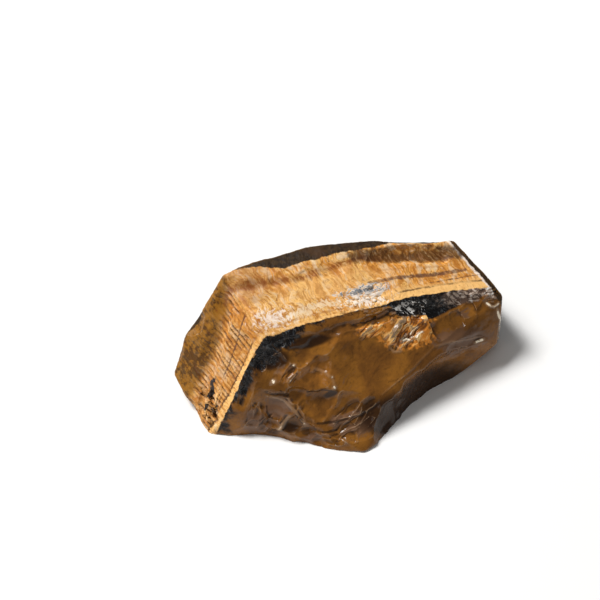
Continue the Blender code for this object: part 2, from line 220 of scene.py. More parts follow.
# Long hollows, shallower towards their ends: (points along it, way they face, half width, depth)
GROOVES = (
    # under the lip at the band's back edge, and the valley down the left side
    (((35.0, 28.2, 27.4), (44.0, 30.4, 25.2), (56.5, 32.6, 22.6)), (0.22, -0.5, 0.84), 2.3, 1.25),
    (((5.6, 20.5, 26.7), (3.6, 14.5, 19.8), (-1.4, 6.8, 6.0)), (-0.53, -0.61, 0.58), 3.0, 1.0),
    # along the band
    (
        ((4.6, 19.4, 25.4), (11.9, 20.3, 27.0), (20.0, 21.8, 27.3), (38.0, 28.6, 26.4)),
        (0.1, -0.38, 0.92), 1.7, 0.24,
    ),
    (((33.0, 22.2, 25.0), (45.0, 25.9, 23.2), (57.0, 29.2, 21.1)), (0.25, -0.36, 0.9), 1.0, 0.22),
    (LONG_SLIT, (-0.56, -0.62, 0.55), 0.95, 2.4),
    (SHORT_SLIT, (-0.56, -0.62, 0.55), 0.6, 1.5),
    # the dark layer: under the band, its lens, and beside the comb; then under the lip of the low break
    (
        ((13.6, 7.8, 20.9), (22.0, 10.2, 21.0), (31.0, 13.0, 21.2), (44.0, 18.9, 19.8)),
        (0.12, -0.86, 0.5), 1.5, 0.85,
    ),
    (((41.0, 17.2, 20.1), (48.0, 19.8, 19.2), (56.5, 22.8, 18.0)), (0.3, -0.72, 0.6), 2.3, 0.95),
    (((13.4, 6.8, 19.6), (11.0, 4.2, 14.0), (8.6, 1.6, 8.0)), (-0.2, -0.86, 0.45), 1.4, 0.5),
    (((12.5, 2.2, 10.6), (21.0, 2.0, 10.8), (28.8, 2.6, 10.7)), (-0.02, -0.95, 0.3), 0.7, 0.55),
)

# Low crests between breaks: (points along it, half width, height)
CRESTS = (
    (((32.8, 12.7, 20.1), (18.6, 5.4, 16.4)), 0.9, 0.6),
    (((39.4, 11.0, 17.6), (36.0, 13.0, 19.0)), 0.9, 0.45),
    (((30.6, 3.2, 10.6), (31.6, -0.8, 6.6)), 0.7, 0.45),
)

# Rings of a shell-shaped break: (middle, from one ring to the next, reach, height)
RINGS = (((60.5, 19.9, 12.8), 1.6, 1.8, 0.05), ((25.4, 5.6, 15.0), 1.2, 3.0, 0.05))

# The layers of the vein. Gold lies behind the plane through BAND_CORNER that faces GOLD_FRONT, and in front
# of the plane through TOP_LEFT that faces GOLD_BACK.
BAND_CORNER = np.array(CORNERS["band corner"])
TOP_LEFT = np.array(CORNERS["top left"])
BAND_END = np.array(CORNERS["band end"])
GOLD_FRONT = np.array((0.328, -0.92, 0.22))
GOLD_BACK = np.array((0.25, -0.912, 0.326))
RIGHT_END = np.array((0.696, 0.712, 0.075))
BAND_TOP = np.array((0.173, -0.269, 0.947))
COMB_SIDE = np.array((-0.546, -0.608, 0.576))
FIBRE = np.array((0.628, -0.729, -0.273))  # the way the fibres run
RIB = np.array((0.586, 0.213, 0.78))  # across the ribs of the comb
ALONG = np.array((0.945, 0.317, -0.083))  # along the band's front edge
STROKE = np.array((0.643, 0.696, 0.321))  # the way the brown splinters
BESIDE = np.array((-0.71, 0.371, 0.598))  # across those splinters
FINE_SIDE = Vector((-0.1, -0.62, 0.78))  # the side that is given finer facets
# How far the dark layer bites into the gold, and how thick it is, along X
BITE = (
    *((0, -1.0), (3.4, -1.1), (5.6, -1.4), (7.9, -1.15), (9.2, -0.7), (10.4, -0.25), (12, 0), (36, 0)),
    *((40, 0.15), (43, 0.55), (47, 0.8), (52, 0.8), (57, 0.7), (62, 0.3), (66, 0.0)),
)
DARK = (
    *((0, 0.3), (4, 0.4), (7, 0.9), (9, 1.6), (12, 1.6), (16, 1.8), (20, 1.5), (24, 0.5), (27, 0.22)),
    *((38, 0.22), (41, 0.7), (43.5, 2.1), (48, 2.45), (50, 2.3), (54, 1.7), (58, 1.15), (62, 1.0), (66, 0.9)),
)
# Where the dark skin starts behind the gold, along X
SKIN = (
    *((0, -1.3), (4.5, -0.3), (11, 0.6), (17.6, 2.3), (22.3, 1.7), (31.5, 0.65), (38, 0.4), (42, -0.6)),
    (51, -1.5),
)
# Share of the way across the gold at which the comb gives way to the darker outer strip, by height
VALLEY = ((5.0, 0.55), (9.5, 0.58), (19.8, 0.65), (26.7, 0.86))
# Thin layers in the gold: (X and share of the way across at points along it), half width
SEAMS = (
    (((37, 0.435), (46, 0.446), (58, 0.457)), 0.3),
    (((4.8, 0.237), (5.6, 0.25), (7.4, 0.314), (9.0, 0.4)), 0.2),
    (((50, 0.3), (62, 0.33)), 0.1),
)
# a red-brown line in the gold, darkened as painted shade along a slight crease of the band
STAIN_AND_SHADE_LINES = (
    (((5.6, 0.83), (11.9, 0.72), (20, 0.65), (25, 0.68)), 0.5),
    (((24, 0.72), (30, 0.78), (38, 0.815)), 0.42),
)
# painted shade under the rear lip of the band
LIP_SHADE = ((((34, 0.86), (39, 0.845), (44, 0.86), (57, 0.81)), 1.1),)

# Dark lines: dirt in the cracks and slits, and painted shadow under the lips of breaks: (points along it,
# half width)
DIRT_AND_SHADOW = (
    (LONG_SLIT, 0.6),
    (SHORT_SLIT, 0.35),
    (((22.4, 2.6, 11.2), (26.4, 3.0, 11.0), (28.8, 3.0, 11.0)), 0.32),
    (((16.6, 3.0, 12.2), (19.6, 2.4, 11.4), (22.4, 2.6, 11.4)), 0.25),
    (((24.6, -1.6, 5.2), (28.6, -1.4, 5.4), (32.6, -0.6, 6.0)), 0.35),
    (((26.0, -2.8, 3.6), (30.0, -2.8, 4.0)), 0.35),
    (((18.2, 4.2, 14.4), (19.5, 5.0, 15.4)), 0.22),
    (((14.0, 0.6, 8.6), (14.2, -0.2, 6.6), (15.6, -1.0, 5.0)), 0.25),
)

# Patches of colour on the stone, some of them painted light (painted highlights in cream, glare and silver, a
# painted mauve reflection, and painted shade over hollow facets and under edges): name, (middle, half sizes
# along ALONG, along FIBRE and out of the face)
PATCHES = {
    # painted silver glints, over the slate patch and in the dark lens
    "silver": (((35.4, 21.2, 23.9), 6.4, 1.5, 4.0), ((46.4, 19.4, 19.4), 5.6, 1.8, 2.5)),
    # painted highlight: cream flecks where the band catches the light
    "cream": (
        ((35.0, 19.0, 23.0), 6.0, 2.3, 4.0),
        ((26.0, 17.0, 24.1), 7.0, 1.3, 4.0),
        ((20.4, 14.6, 24.0), 5.0, 1.6, 4.0),
    ),
    # painted highlight: white glare at the band's corner and over the cream flecks
    "glare": (((15.4, 13.4, 23.9), 5.6, 3.4, 4.0), ((36.0, 19.2, 23.2), 6.5, 2.2, 4.0)),
    "grey": (((61.0, 25.0, 17.8), 7.6, 2.0, 3.0),),
    "hackle": (
        ((45.2, 15.0, 16.7), 5.4, 3.0, 5.0),
        ((37.5, 14.0, 19.0), 3.0, 1.2, 3.0),
        ((47.0, 17.6, 17.8), 5.0, 1.2, 3.0),
    ),
    # painted reflection: a mauve-grey sheen on the brown's flatter facets
    "sheen": (
        ((16.2, 0.6, 8.2), 4.2, 2.2, 4.0),
        ((23.6, -3.2, 2.2), 2.4, 1.0, 3.0),
        ((12.0, -0.6, 4.6), 3.0, 2.6, 4.0),
        ((33.0, -1.0, 5.2), 4.6, 3.2, 5.0),
        ((56.4, 16.8, 11.0), 7.6, 2.5, 4.0),
    ),
    # painted shade: hollow facets, the hollow under the band's edge, under lips and in a bowl
    "shadowed": (
        ((23.6, 10.2, 20.0), 5.0, 1.1, 4.0),
        ((52.0, 9.4, 2.0), 13.0, 6.0, 5.6),
        ((42.0, 2.0, 3.0), 7.0, 5.0, 6.0),
        ((27.0, 2.4, 10.4), 2.8, 0.6, 1.6),
        ((15.4, 6.6, 17.6), 3.4, 2.0, 3.0),
        ((19.3, -1.9, 4.6), 1.8, 1.3, 2.4),
    ),
    "ochre": (
        ((25.8, 5.2, 14.6), 3.2, 2.6, 3.0),
        ((31.0, 11.6, 19.0), 5.0, 0.8, 3.0),
        ((20.0, 4.6, 14.6), 3.6, 1.8, 3.0),
    ),
    "shade": (
        ((57.5, 19.0, 13.5), 7.0, 3.0, 5.0),
        ((14.0, 3.6, 13.0), 3.0, 4.0, 4.0),
        ((66.0, 24.0, 9.0), 3.0, 6.0, 6.0),
        ((19.4, -1.9, 4.3), 2.8, 1.7, 3.0),
    ),
}


def unit(v):
    """The same way, with a length of one."""
    v = np.asarray(v, float)
    return v / np.linalg.norm(v)


def along_x(p, table):
    """What a table of X and value gives at each point."""
    xs, values = zip(*table)
    return np.interp(p, xs, values)


def lattice(cells, seed):
    """One number from -1 to 1 for each cell of space."""
    x, y, z = (cells[:, i].astype(np.int64) for i in range(3))
    h = (x * 73856093) ^ (y * 19349663) ^ (z * 83492791) ^ (seed * 2654435761)
    h = (h ^ (h >> 13)) * 1274126177 & 0x7FFFFFFF
    return ((h ^ (h >> 16)) & 0xFFFF) / 32767.5 - 1.0


def swell(p, length, seed):
    """Smooth lumps of about this length, from -1 to 1."""
    q = p / length
    cell = np.floor(q)
    f = q - cell
    f = f * f * (3 - 2 * f)
    total = np.zeros(len(p))
    for dx in (0, 1):
        for dy in (0, 1):
            for dz in (0, 1):
                weight = np.ones(len(p))
                for axis, d in enumerate((dx, dy, dz)):
                    weight = weight * (f[:, axis] if d else 1 - f[:, axis])
                total += weight * lattice(cell + (dx, dy, dz), seed)
    return total


def chips():
    """Small shell-shaped breaks spread over the chipped patches, the same each time."""
    rng = np.random.default_rng(CHIP_SEED)
    found = []
    for middle, faces, long_half, wide_half, longer, count, reach, depth, tilt, stretch in CHIPPED:
        out = unit(faces)
        along = np.asarray(longer, float)
        along = unit(along - (along @ out) * out)
        side = np.cross(out, along)
        for _ in range(count):
            a, b = rng.uniform(-1, 1, 2)
            place = np.asarray(middle) + a * long_half * along + b * wide_half * side
            turned = unit(out + tilt * (rng.uniform(-1, 1) * along + rng.uniform(-1, 1) * side))
            size = rng.uniform(0.6, 1.4)
            way = along + rng.uniform(-0.6, 0.6) * side
            found.append((place, turned, reach * size, depth * size, way, stretch * rng.uniform(0.8, 1.3)))
    return found


def hollow(p, warp, scar):
    """Distance outside one shell-shaped break, and the way that distance grows."""
    middle, faces, reach, depth, longer, stretch = scar
    out = unit(faces)
    along = np.asarray(longer, float)
    along = unit(along - (along @ out) * out)
    radius = (reach**2 + depth**2) / (2 * depth)
    uneven = min(1.0, reach / 3.0)
    q = p - (np.asarray(middle) + out * (radius - depth)) + uneven * (warp - np.outer(warp @ out, out))
    squeeze = 1 / stretch - 1
    q = q + np.outer(q @ along * squeeze, along)
    size = np.linalg.norm(q, axis=1)
    q = q / size[:, None]
    return size - radius, q + np.outer(q @ along * squeeze, along)


def in_patch(p, patch_of):
    """Where points lie in a splintered patch (along, across, out), and their share of the way to its rim."""
    middle, faces, long_half, wide_half, longer = patch_of[:5]
    out = unit(faces)
    along = unit(np.asarray(longer) - (np.asarray(longer) @ out) * out)
    q = (p - middle) @ np.stack([along, np.cross(out, along), out], axis=1)
    return q, np.linalg.norm(q / (long_half, wide_half, 3.0), axis=1)


def shards(p):
    """How far the splinters stand out, and where each point lies between their lowest and their highest."""
    rise, level = np.zeros(len(p)), np.zeros(len(p))
    for number, patch_of in enumerate(SHARDS):
        wide, stretch, height = patch_of[5:]
        q, r = in_patch(p, patch_of)
        near = np.flatnonzero(r < 1.6)
        flat = q[near] / (wide * stretch, wide, 1.0)
        flat[:, 2] = 0
        cell = np.floor(flat)
        least = np.full(len(near), 9.0)
        for du in (-1, 0, 1):
            for dv in (-1, 0, 1):
                c = cell + (du, dv, 0)
                a, b, lift, lean_u, lean_v = (lattice(c, 100 + 8 * number + k) for k in range(5))
                u = flat[:, 0] - c[:, 0] - 0.5 - 0.4 * a
                v = flat[:, 1] - c[:, 1] - 0.5 - 0.4 * b
                lean = 0.4 * lift + 0.9 * lean_u * u + 1.2 * lean_v * v
                least = np.minimum(least, lean + 0.6 * (u * u + v * v))
        share = smooth_step(r[near] + 0.22 * swell(q[near], 1.7, 93), 1.35, 0.75)
        rise[near] += height * share * (least + 0.2)
        level[near] += np.sign(height) * share * (least + 0.2)
    return rise, level


def near_lines(p, lines, sharp):
    """1 on the given lines, falling to 0 beside them."""
    most = np.zeros(len(p))
    for points, half, share in lines:
        _, d, t = from_line(p, points)
        ends = np.clip(12 * t * (1 - t), 0.35, 1)
        most = np.maximum(most, share * np.exp(-((d / half) ** sharp)) * ends)
    return most


def from_line(p, points):
    """The way to each point from the nearest one on a bent line, its length, and how far along that is."""
    points = np.asarray(points, float)
    steps = np.linalg.norm(np.diff(points, axis=0), axis=1)
    ends = np.concatenate([[0], np.cumsum(steps)]) / steps.sum()
    best, least, share = p - points[0], np.full(len(p), np.inf), np.zeros(len(p))
    for k, start in enumerate(points[:-1]):
        way = points[k + 1] - start
        t = np.clip((p - start) @ way / (way @ way), 0, 1)
        q = p - start - np.outer(t, way)
        size = np.linalg.norm(q, axis=1)
        nearer = size < least
        best[nearer], least[nearer] = q[nearer], size[nearer]
        share[nearer] = (ends[k] + t * (ends[k + 1] - ends[k]))[nearer]
    return best, least, share


def trough(p, warp, groove):
    """Distance outside one long hollow, and the way that distance grows."""
    points, faces, half, depth = groove
    radius = (half**2 + depth**2) / (2 * depth)
    q, size, share = from_line(p + 0.35 * warp, np.asarray(points) + unit(faces) * (radius - depth))
    return size - radius + depth * (2 * share - 1) ** 4, q / size[:, None]


def bent(p):
    """The same points, shifted so that flat planes come out as a surface with lumps."""
    moved = p.copy()
    for length, height in SWELL:
        for axis in range(3):
            moved[:, axis] += height * swell(p, length, 11 + axis + int(length))
    return moved


def warped(p):
    """A shift of up to a millimetre or so, which makes the edges of breaks wander."""
    return np.stack([0.9 * swell(p, 3.1, 41 + i) + 0.45 * swell(p, 1.4, 51 + i) for i in range(3)], axis=1)


def outside(p, ways, reach, small, beads=()):
    """Signed distance outside the stone, near enough to its surface, and the way out."""
    q = bent(p)
    planes = q @ ways.T - reach
    most = planes.max(axis=1)
    weight = np.exp((planes - most[:, None]) / EDGE_WEAR)
    total = weight.sum(axis=1)
    gap = most + EDGE_WEAR * np.log(total)
    out = weight @ ways / total[:, None]
    warp = warped(p)
    for points, half, height in CRESTS:
        _, d, t = from_line(q + 0.3 * warp, points)
        gap = gap - height * np.exp(-((d / half) ** 2)) * np.clip(8 * t * (1 - t), 0, 1)
    for middle, spacing, wide, height in RINGS:
        r = np.linalg.norm(q + 0.3 * warp - middle, axis=1)
        gap = gap - height * np.cos(2 * np.pi * r / spacing) * np.exp(-((r / wide) ** 2))
    worn = 0.02 + 0.12 * np.clip(swell(p, 6.0, 71), 0, 1)
    for shape, cuts in ((hollow, SCARS), (trough, GROOVES), (hollow, small)):
        if cuts is small:
            gap = gap - shards(q + 0.45 * warp)[0]
            for points, half, height, _ in beads:
                low, high = np.min(points, axis=0) - 1.5, np.max(points, axis=0) + 1.5
                near = np.flatnonzero(((p > low) & (p < high)).all(axis=1))
                if len(near):
                    _, d, _ = from_line(p[near] + 0.10 * warp[near], points)
                    gap[near] -= height * np.exp(-((d / half) ** 2))
        for cut in cuts:
            if cuts is small:
                near = np.flatnonzero(((q - cut[0]) ** 2).sum(axis=1) < (3 * cut[2] + 1) ** 2)
            else:
                near = np.arange(len(q))
            d, grow = shape(q[near], warp[near], cut)
            # the large hollow's edge is worn round, those of small breaks are crisp
            blunt = 0.0
            if cuts is SCARS:
                blunt = 5.0 if cut is SCARS[0] else min(1.0, cut[2] / 5.0)
            soft = np.maximum(worn[near] * blunt, 0.02)
            share = 1 / (1 + np.exp(np.clip((gap[near] + d) / soft, -40, 40)))
            rounding = soft * np.log1p(np.exp(-np.abs(gap[near] + d) / soft))
            gap[near] = np.maximum(gap[near], -d) + rounding
            out[near] = out[near] * (1 - share)[:, None] - grow * share[:, None]
    return gap, out


def finer(mesh, chosen):
    """Halves the facets for which chosen, a function of their middles and their normals, is true."""
    count = len(mesh.polygons)
    middles, normals = np.empty(count * 3), np.empty(count * 3)
    mesh.polygons.foreach_get("center", middles)
    mesh.polygons.foreach_get("normal", normals)
    found = np.flatnonzero(chosen(middles.reshape(-1, 3), normals.reshape(-1, 3)))
    bm = bmesh.new()
    bm.from_mesh(mesh)
    bm.faces.ensure_lookup_table()
    edges = {e for i in found for e in bm.faces[i].edges}
    bmesh.ops.subdivide_edges(bm, edges=list(edges), cuts=1, use_grid_fill=True)
    bm.to_mesh(mesh)
    bm.free()


def on_front(p, normals):
    """Facets of the finer side, down to a little below the underside."""
    return (normals @ FINE_SIDE > 0.25) & (p[:, 2] > BELOW)


def splintered(p, _):
    """Facets in the patches of splinters."""
    found = np.zeros(len(p), bool)
    for patch_of in SHARDS:
        found |= in_patch(p, patch_of)[1] < 1.05
    return found & (p[:, 2] > BELOW)


def block(cell):
    """The convex block that the break planes leave, evenly covered with facets, and those planes."""
    bm = bmesh.new()
    for corner in CORNERS.values():
        bm.verts.new(corner)
    hull = bmesh.ops.convex_hull(bm, input=bm.verts)
    loose = {g for g in hull["geom_interior"] + hull["geom_unused"] if isinstance(g, bmesh.types.BMVert)}
    bmesh.ops.delete(bm, geom=list(loose), context="VERTS")
    bmesh.ops.recalc_face_normals(bm, faces=bm.faces)
    ways = np.array([f.normal[:] for f in bm.faces])
    reach = np.array([f.normal @ f.verts[0].co for f in bm.faces])
    mesh = bpy.data.meshes.new("block")
    bm.to_mesh(mesh)
    bm.free()
    obj = bpy.data.objects.new("stone", mesh)
    bpy.context.scene.collection.objects.link(obj)
    remesh = obj.modifiers.new("even facets", "REMESH")
    remesh.mode = "VOXEL"
    remesh.voxel_size = cell
    graph = bpy.context.evaluated_depsgraph_get()
    obj.data = bpy.data.meshes.new_from_object(obj.evaluated_get(graph))
    obj.modifiers.clear()
    finer(obj.data, on_front)
    finer(obj.data, splintered)
    return obj, ways, reach


def spaced(points):
    """The same line, with points about a millimetre apart."""
    points = np.asarray(points, float)
    ends = np.concatenate([[0], np.cumsum(np.linalg.norm(np.diff(points, axis=0), axis=1))])
    at = np.linspace(0, ends[-1], int(np.ceil(ends[-1])) + 1)
    return np.stack([np.interp(at, ends, points[:, i]) for i in range(3)], axis=1)


def settled(lines, ways, reach):
    """The same lines, with their points moved on to the broken surface."""
    lines = [(spaced(points), *rest) for points, *rest in lines]
    places = np.array([place for line in lines for place in line[0]], float)
    for _ in range(LINE_ROUNDS):
        gap, out = outside(places, ways, reach, ())
        places = places - gap[:, None] * out / np.maximum((out * out).sum(axis=1), 0.3)[:, None]
    places = list(places)
    return [([places.pop(0) for _ in line[0]], *line[1:]) for line in lines]


def broken(mesh, ways, reach, cell):
    """Moves the facets' corners on to the broken surface, and gives what the material needs to know there."""
    count = len(mesh.vertices)
    p = np.empty(count * 3)
    mesh.vertices.foreach_get("co", p)
    p = p.reshape(-1, 3)
    ends = np.empty(len(mesh.edges) * 2, np.int32)
    mesh.edges.foreach_get("vertices", ends)
    a, b = ends.reshape(-1, 2).T
    links = np.bincount(np.concatenate([a, b]), minlength=count)[:, None]

    def around(v):
        """The mean of each corner's neighbours."""
        sums = [np.bincount(a, v[b, i], count) + np.bincount(b, v[a, i], count) for i in range(v.shape[1])]
        return np.stack(sums, 1) / links

    places = [([place], *rest) for place, *rest in chips()]
    small = [(points[0], *rest) for points, *rest in settled(places, ways, reach)]
    beads = settled(BEADS, ways, reach)
    for turn in range(SETTLING_ROUNDS):
        gap, out = outside(p, ways, reach, small, beads)
        size = np.maximum((out * out).sum(axis=1), 0.3)
        p = p - np.clip(gap / size, -3 * cell, 3 * cell)[:, None] * out
        if turn < SPREADING_ROUNDS:
            pull = around(p) - p
            way = out / np.sqrt(size)[:, None]
            p = p + 0.5 * (pull - (pull * way).sum(axis=1)[:, None] * way)
    # how sharply the surface bends: above 0 on crests, below 0 in hollows
    side = ((p[a] - p[b]) ** 2).sum(axis=1)
    side = (np.bincount(a, side, count) + np.bincount(b, side, count))[:, None] / links
    bend = -((around(p) - p) * out).sum(axis=1)[:, None] / np.maximum(side, 0.01)
    bend = 0.5 * (bend + around(bend))
    mesh.vertices.foreach_set("co", ((p - CENTRE) * MM).ravel())
    mesh.update()
    values = layer_values(p)
    values["bend"] = bend[:, 0]
    values["pale"] = near_lines(p, [(points, 1.3 * half, pale) for points, half, _, pale in beads], 2)
    values["dirt"] = near_lines(p, [(*line, 1.0) for line in settled(DIRT_AND_SHADOW, ways, reach)], 4)
    return values


def smooth_step(x, low, high):
    """0 at low and 1 at high, with a smooth rise between."""
    t = np.clip((x - low) / (high - low), 0, 1)
    return t * t * (3 - 2 * t)


def patch(p, spots):
    """1 in the middle of the given patches, falling to 0 at their rims."""
    most = np.zeros(len(p))
    axes = np.linalg.inv(np.stack([ALONG, FIBRE, unit(np.cross(ALONG, FIBRE))], axis=1))
    for middle, *halves in spots:
        r = np.linalg.norm((p - middle) @ axes.T / halves, axis=1)
        most = np.maximum(most, np.clip(1.5 - r, 0, 1.5) / 1.5)
    return most


def line_gap(p, across, width, lines):
    """How far each point lies from the nearest of these lines, as a share of that line's half width."""
    least = np.full(len(p), 9.0)
    for points, half in lines:
        xs, shares = zip(*points)
        off = np.abs(across - np.interp(p[:, 0], xs, shares)) * width
        beyond = np.maximum(np.maximum(xs[0] - p[:, 0], p[:, 0] - xs[-1]), 0)
        least = np.minimum(least, np.hypot(off, 0.5 * beyond) / half)
    return least


def layer_values(p):
    """For each point, where it lies among the layers of the vein, in millimetres or as a share."""
    x, z = p[:, 0], p[:, 2]
    ahead = (p - BAND_CORNER) @ GOLD_FRONT
    behind = (p - TOP_LEFT) @ GOLD_BACK
    # the gold thins out before it reaches the foot of the right end
    edge = ahead + along_x(x, BITE) + 4.0 * smooth_step(x, 56, 62) * (1 - smooth_step(z, 5, 11))
    end = -0.8 - (p - BAND_END) @ RIGHT_END
    back = np.minimum(behind - along_x(x, SKIN), end)
    width = np.maximum(behind - ahead, 1.0)
    across = np.clip(-ahead / width, 0, 1)
    comb = smooth_step((p - BAND_CORNER) @ COMB_SIDE - (p - BAND_CORNER) @ BAND_TOP, -0.4, 0.8)
    outer = comb * smooth_step(across - along_x(z, VALLEY), -0.06, 0.10)
    # painted shade: the gold darker towards the back of the band at its right and left ends, where it catches
    # less light
    right = smooth_step(x, 46, 64) * smooth_step(across, 0.35, 0.7) * 0.40
    left = (1 - smooth_step(x, 9, 26)) * smooth_step(across, 0.30, 0.60) * 0.42
    dusk = np.maximum(right, left)
    bright = smooth_step(x, 34, 43) * (1 - smooth_step(across, 0.20, 0.32)) + 0.5 * smooth_step(x, 14, 22) * (
        1 - smooth_step(x, 34, 44)
    ) * smooth_step(across, 0.28, 0.38) * (1 - smooth_step(across, 0.55, 0.68))
    values = {
        "gold_edge": edge,
        "brown_edge": edge - along_x(x, DARK),
        "back_edge": back,
        "across": across,
        "comb": comb * smooth_step(-edge, 0.7, 1.3),
        "outer": outer,
        "seam": line_gap(p, across, width, SEAMS),
        "stain_and_shade": line_gap(p, across, width, STAIN_AND_SHADE_LINES),
        "step": line_gap(p, across, width, LIP_SHADE),
        "end_edge": end,
        "dusk": dusk * (1 - comb),
        "bright": bright,
        "level": shards(bent(p) + 0.45 * warped(p))[1],
    }
    for name, spots in PATCHES.items():
        values[name] = patch(p, spots)
    return values


def add(tree, kind, inputs=(), out=0, **settings):
    """Adds a node with its settings and its inputs, which are values or other nodes' outputs."""
    node = tree.nodes.new(kind)
    for key, value in settings.items():
        setattr(node, key, value)
    for key, value in inputs.items() if isinstance(inputs, dict) else enumerate(inputs):
        if isinstance(value, bpy.types.NodeSocket):
            tree.links.new(value, node.inputs[key])
        else:
            node.inputs[key].default_value = value
    return node.outputs[out] if node.outputs else node


def linear(code, alpha=1.0):
    """A linear colour from an sRGB hex value."""
    parts = [int(code[i : i + 2], 16) / 255 for i in (1, 3, 5)]
    return (*(c / 12.92 if c <= 0.04045 else ((c + 0.055) / 1.055) ** 2.4 for c in parts), alpha)


def times(tree, *factors):
    """These factors multiplied together."""
    total = factors[0]
    for factor in factors[1:]:
        total = add(tree, "ShaderNodeMath", (total, factor), operation="MULTIPLY")
    return total


def total_of(tree, *terms):
    """The sum of these pairs of a value and its weight."""
    total = 0.0
    for value, weight in terms:
        total = add(tree, "ShaderNodeMath", (value, weight, total), operation="MULTIPLY_ADD")
    return total


def uneven(tree, value, by, amount):
    """The value, raised and lowered by a noise, at most by half of this amount."""
    off = add(tree, "ShaderNodeMath", (by, 0.5), operation="SUBTRACT")
    return add(tree, "ShaderNodeMath", (off, amount, value), operation="MULTIPLY_ADD")


def fade(tree, value, low, high, least=0.0, most=1.0, *within):
    """A share that goes smoothly from least, at low, to most, at high, times the shares within."""
    step = (value, low, high, least, most)
    return times(tree, add(tree, "ShaderNodeMapRange", step, interpolation_type="SMOOTHSTEP"), *within)


def laid(tree, under, *layers):
    """The colour under, with layers laid over it: each a colour and its share, or what fade needs for one."""
    for over, *share in layers:
        share = share[0] if len(share) == 1 else fade(tree, *share)
        colours = [c if isinstance(c, bpy.types.NodeSocket) else tuple(c) for c in (under, over)]
        under = add(tree, "ShaderNodeMix", {0: share, 6: colours[0], 7: colours[1]}, out=2, data_type="RGBA")
    return under


# What a row of noise holds. Scale is one over a length in metres.
NOISE_INPUTS = ("Vector", "Scale", "Detail", "Roughness", "Distortion")


def along_fibres(tree, place, squeeze, way=FIBRE, aside=RIB):
    """Coordinates in which the fibres' own direction is shrunk, so that noise is drawn out along them."""
    parts = [
        add(tree, "ShaderNodeVectorMath", (place, tuple(axis)), out=1, operation="DOT_PRODUCT")
        for axis in (way * squeeze, aside, unit(np.cross(way, aside)))
    ]
    return add(tree, "ShaderNodeCombineXYZ", parts), parts[1]


def waved(tree, place):
    """The same place, shifted by up to a millimetre or so, so that fibres wander."""
    wave = add(tree, "ShaderNodeTexNoise", {"Vector": place, "Scale": 190.0, "Detail": 3.0}, out=1)
    wave = add(tree, "ShaderNodeVectorMath", {0: wave, 3: 0.0045}, operation="SCALE")
    return add(tree, "ShaderNodeVectorMath", (place, wave), operation="ADD")


